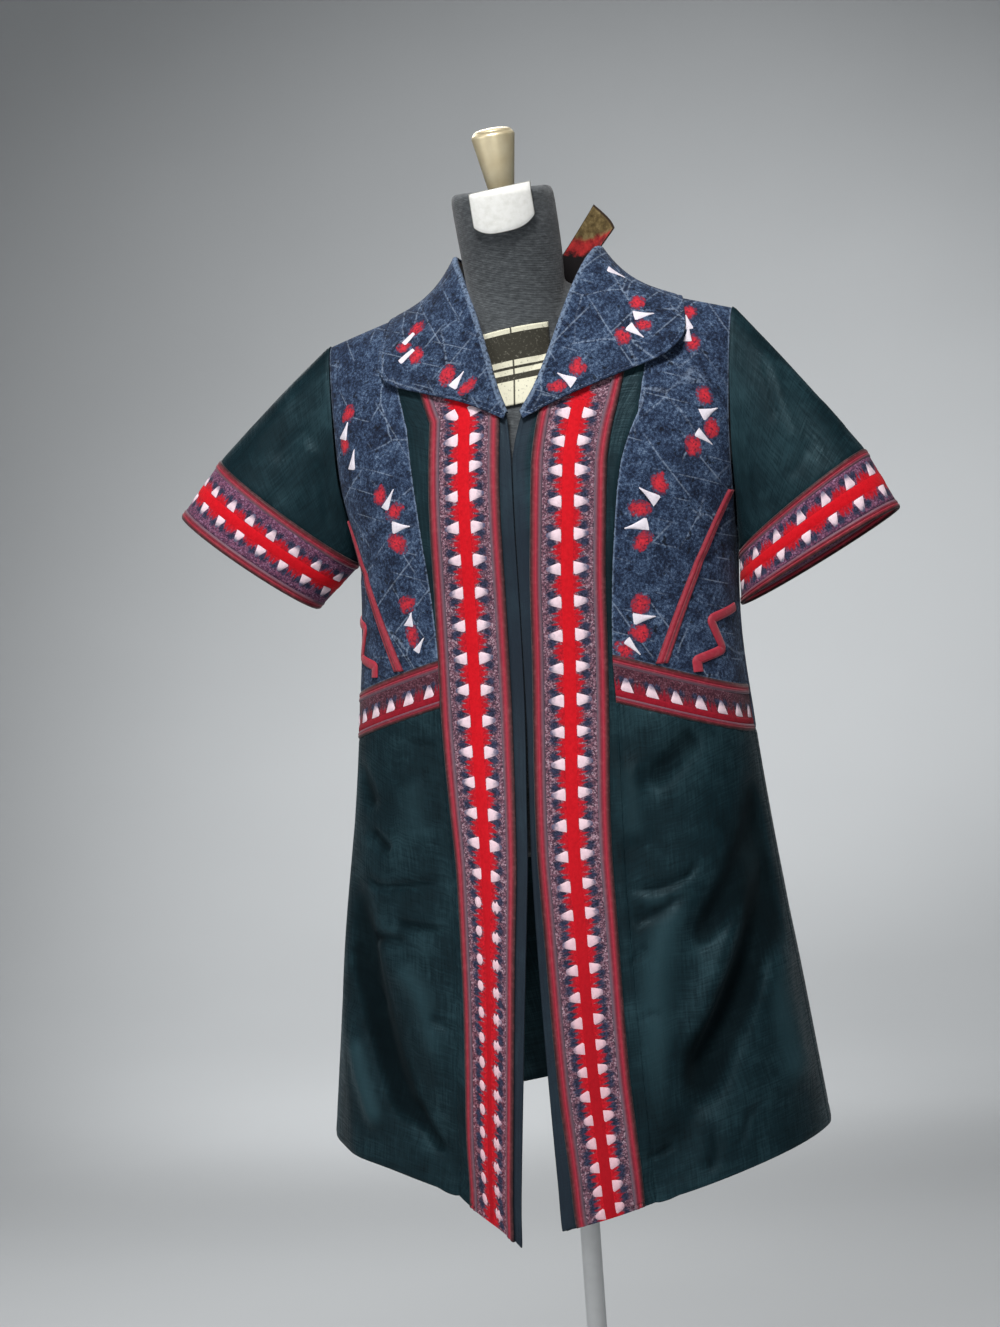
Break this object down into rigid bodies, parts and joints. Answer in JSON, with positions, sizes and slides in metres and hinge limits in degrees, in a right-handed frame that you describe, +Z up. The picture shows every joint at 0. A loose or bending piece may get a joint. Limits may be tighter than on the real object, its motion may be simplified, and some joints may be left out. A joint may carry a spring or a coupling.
{
  "type": "embroidered jacket on a dress form",
  "caption": "Short-sleeved flared tunic jacket of washed denim and dark sateen with embroidered front, waist and cuff bands, worn on a limbless dress form with a pole and round base.",
  "frame": {"origin": "centre of the stand's foot on the floor", "axes": "+Z up along the pole, the jacket's front faces -Y, the wearer's left is +X"},
  "size_m": [0.7363, 0.4, 1.5728],
  "materials": {
    "dark_sateen": "satin weave with a soft sheen",
    "washed_denim": "acid-washed twill",
    "embroidery": "raised thread embroidery",
    "mauve_ribbon": "ribbed ribbon",
    "olive_cloth": "plain weave",
    "grey_jersey": "fine knit",
    "pale_tab": "matte",
    "satin_brass": "satin turned",
    "pale_enamel": "satin enamel"
  },
  "bodies": {
    "root": {"placket_left": "dark_sateen", "placket_right": "dark_sateen", "front_band_left": "embroidery", "front_band_right": "embroidery", "front_ribbon_inner_left": "mauve_ribbon", "front_ribbon_inner_right": "mauve_ribbon", "front_ribbon_outer_left": "mauve_ribbon", "front_ribbon_outer_right": "mauve_ribbon", "front_skirt_left": "dark_sateen", "front_skirt_right": "dark_sateen", "waist_ribbon_lower_left": "mauve_ribbon", "waist_ribbon_lower_right": "mauve_ribbon", "waist_band_left": "embroidery", "waist_band_right": "embroidery", "waist_ribbon_upper_left": "mauve_ribbon", "waist_ribbon_upper_right": "mauve_ribbon", "front_panel_left": "washed_denim", "front_panel_right": "washed_denim", "side_panel_left": "washed_denim", "side_panel_right": "washed_denim", "seam_tape_left": "mauve_ribbon", "seam_tape_right": "mauve_ribbon", "rickrack_left": "mauve_ribbon", "rickrack_right": "mauve_ribbon", "sleeve_left": "dark_sateen", "sleeve_right": "dark_sateen", "cuff_ribbon_upper_left": "mauve_ribbon", "cuff_ribbon_upper_right": "mauve_ribbon", "cuff_band_left": "embroidery", "cuff_band_right": "embroidery", "cuff_ribbon_lower_left": "mauve_ribbon", "cuff_ribbon_lower_right": "mauve_ribbon", "back_skirt": "dark_sateen", "back_bodice": "washed_denim", "collar_fall": "washed_denim", "collar_stand": "olive_cloth", "form_body": "grey_jersey", "form_tab": "pale_tab", "form_label": "pale_tab", "form_finial": "satin_brass", "stand_pole": "pale_enamel", "stand_base": "pale_enamel"}
  },
  "joints": []
}
